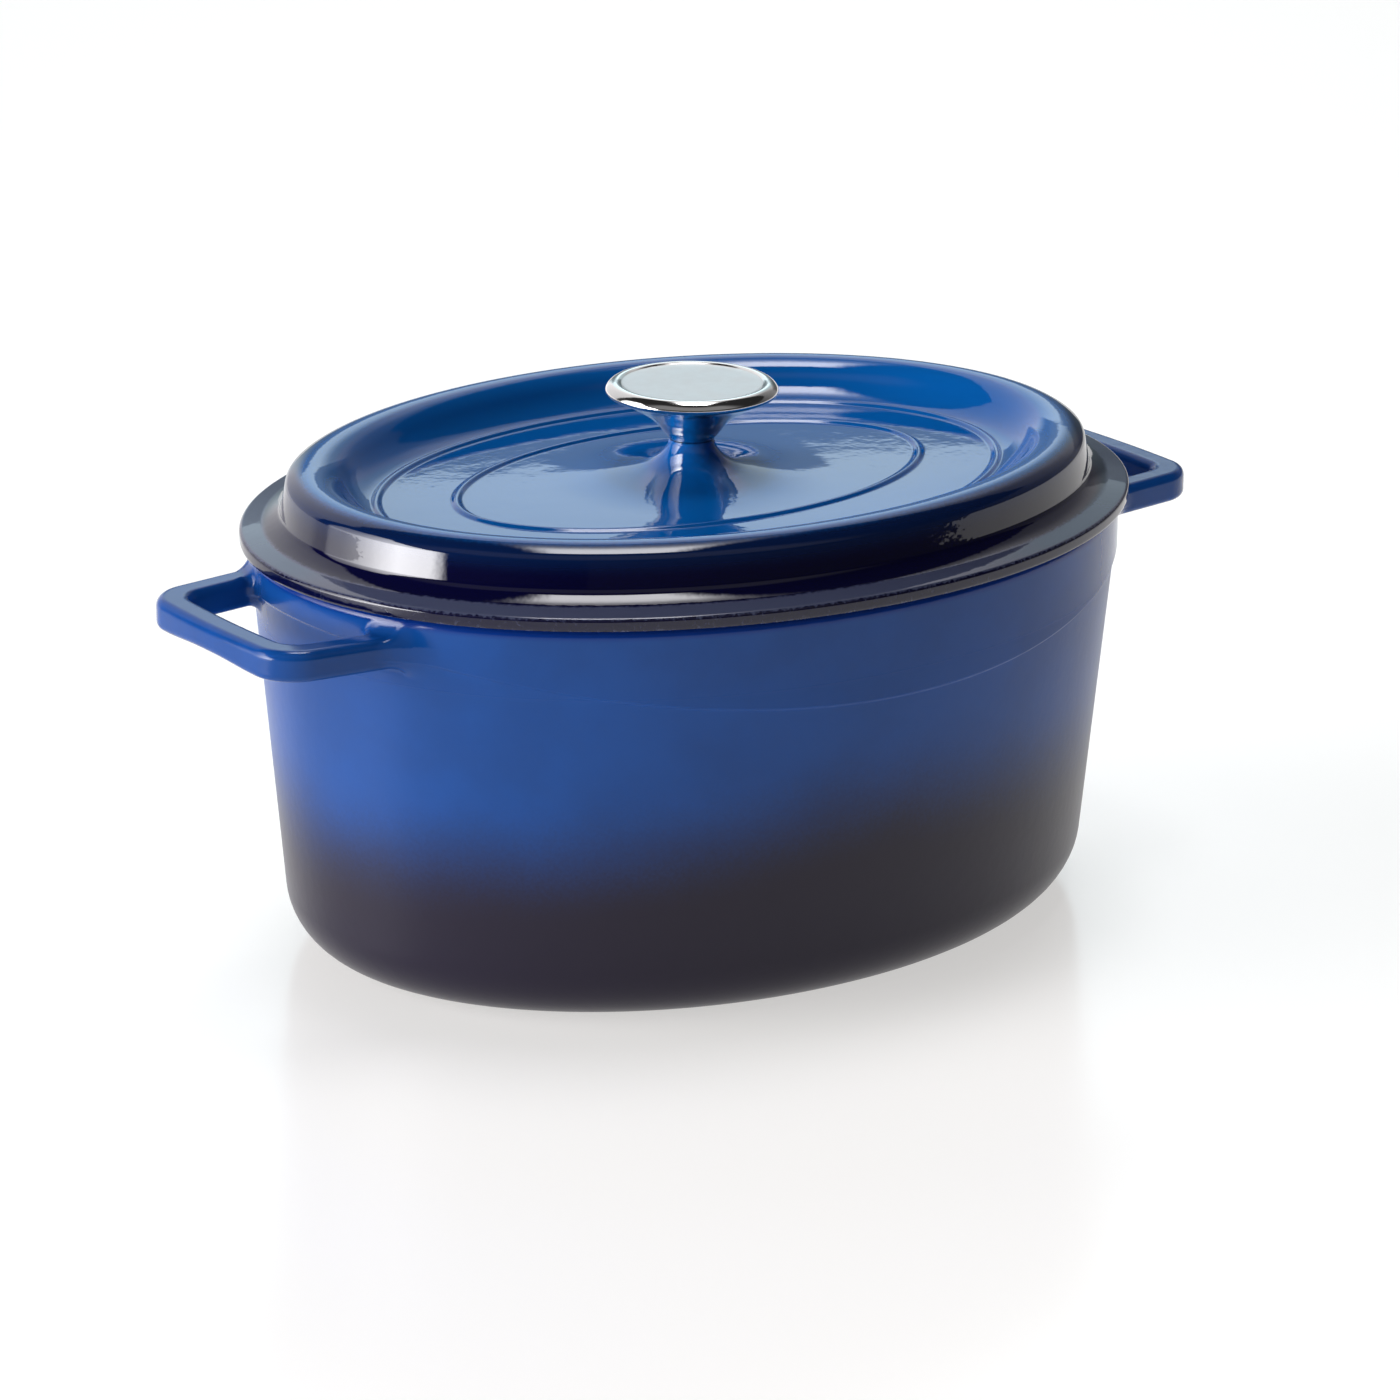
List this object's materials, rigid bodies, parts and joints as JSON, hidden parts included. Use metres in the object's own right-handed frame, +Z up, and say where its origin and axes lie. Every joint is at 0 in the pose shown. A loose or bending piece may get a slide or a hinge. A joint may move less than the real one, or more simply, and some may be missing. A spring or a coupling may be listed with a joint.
{
  "type": "oval cast iron dutch oven",
  "caption": "Oval enamelled cast iron pot with loop handles cast on at both ends, and a lift-off domed lid with a steel disc knob screwed on from below.",
  "frame": {"origin": "centre of the base, on the surface it stands on", "axes": "+X along the long axis through both handles, +Y across the short axis, +Z up through the knob"},
  "size_m": [0.3668, 0.242, 0.1772],
  "materials": {
    "pot_enamel": "satin blue enamel fading to near black at the base, black inside and on the rim",
    "lid_enamel": "gloss blue enamel on top fading to near black at the edge, black underneath",
    "knob_steel": "polished rim and stem with a satin top face",
    "fastener_steel": "plain"
  },
  "bodies": {
    "pot": {"pot": "pot_enamel"},
    "lid": {"lid": "lid_enamel", "knob": "knob_steel", "knob_screw": "fastener_steel", "knob_washer": "fastener_steel", "knob_lock_washer": "fastener_steel"}
  },
  "joints": [
    {"name": "lid_lift", "type": "slide", "parent": "pot", "child": "lid", "axis": [0, 0, 1], "range_m": [0, 0.12]}
  ]
}
